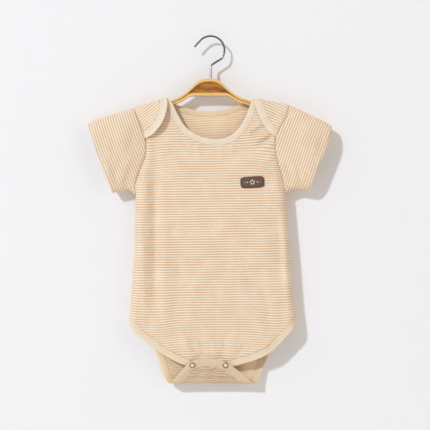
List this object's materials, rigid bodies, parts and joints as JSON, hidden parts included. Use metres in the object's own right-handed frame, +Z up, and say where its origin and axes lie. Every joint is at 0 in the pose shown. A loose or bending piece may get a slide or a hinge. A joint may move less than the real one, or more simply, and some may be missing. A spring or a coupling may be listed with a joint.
{
  "type": "baby romper on hanger",
  "caption": "Short-sleeved striped baby romper with an envelope neck and a snapped crotch, hanging flat on a small moulded hanger with a wire hook.",
  "frame": {"origin": "the hook's mount: the lowest point of the rail's side of the hook, on the inside of its bend at its top, in the middle plane of the hanger", "axes": "+Z up, -Y out of the garment's front towards the viewer, +X to the viewer's right"},
  "size_m": [0.3746, 0.0347, 0.5365],
  "materials": {
    "jersey": "fine ivory and tan striped cotton jersey",
    "rib": "plain cream rib knit",
    "badge": "brown woven patch",
    "snap": "dull nickel",
    "hanger": "golden brown moulding, glossy",
    "hook": "polished steel wire"
  },
  "bodies": {
    "root": {"front_panel": "jersey", "back_panel": "jersey", "sleeve_left": "jersey", "sleeve_right": "jersey", "neck_binding_front": "rib", "neck_binding_back": "rib", "leg_binding_front": "rib", "leg_binding_back": "rib", "chest_badge": "badge", "snap_ring_front_left": "snap", "snap_ring_front_right": "snap", "snap_ring_inside_left": "snap", "snap_ring_inside_right": "snap", "snap_socket_left": "snap", "snap_socket_right": "snap", "hanger_body": "hanger", "hanger_hook": "hook"}
  },
  "joints": []
}
